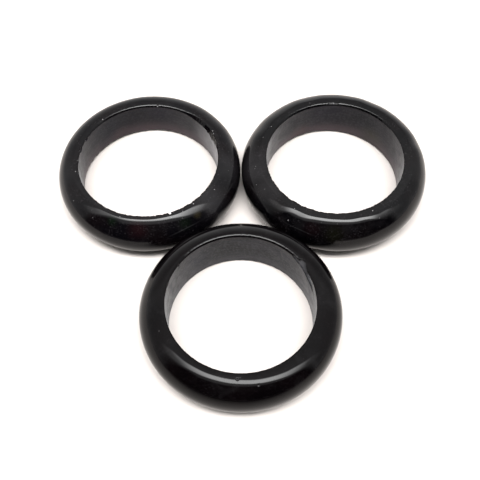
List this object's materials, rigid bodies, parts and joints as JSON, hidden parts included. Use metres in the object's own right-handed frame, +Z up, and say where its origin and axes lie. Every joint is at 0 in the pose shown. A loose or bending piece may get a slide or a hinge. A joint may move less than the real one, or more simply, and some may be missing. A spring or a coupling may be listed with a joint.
{
  "type": "plain band ring set",
  "caption": "Loose plain band rings of polished black stone lying flat side by side: domed outside, straight ground bore, narrow flat end lands.",
  "frame": {"origin": "middle of the set's box, on the table plane that the rings lie on", "axes": "+X across the two rear rings, to the right; +Y from the front ring to the rear rings; +Z up, along every ring's axis"},
  "size_m": [0.0484, 0.045, 0.0063],
  "materials": {
    "black_stone": "mirror-polished dome, matte ground bore"
  },
  "bodies": {
    "front_ring": {"ring_front": "black_stone"},
    "left_ring": {"ring_left": "black_stone"},
    "right_ring": {"ring_right": "black_stone"}
  },
  "joints": [
    {"name": "left_lift", "type": "slide", "parent": "front_ring", "child": "left_ring", "axis": [0, 0, 1], "range_m": [0, 0.03]},
    {"name": "right_lift", "type": "slide", "parent": "front_ring", "child": "right_ring", "axis": [0, 0, 1], "range_m": [0, 0.03]}
  ]
}
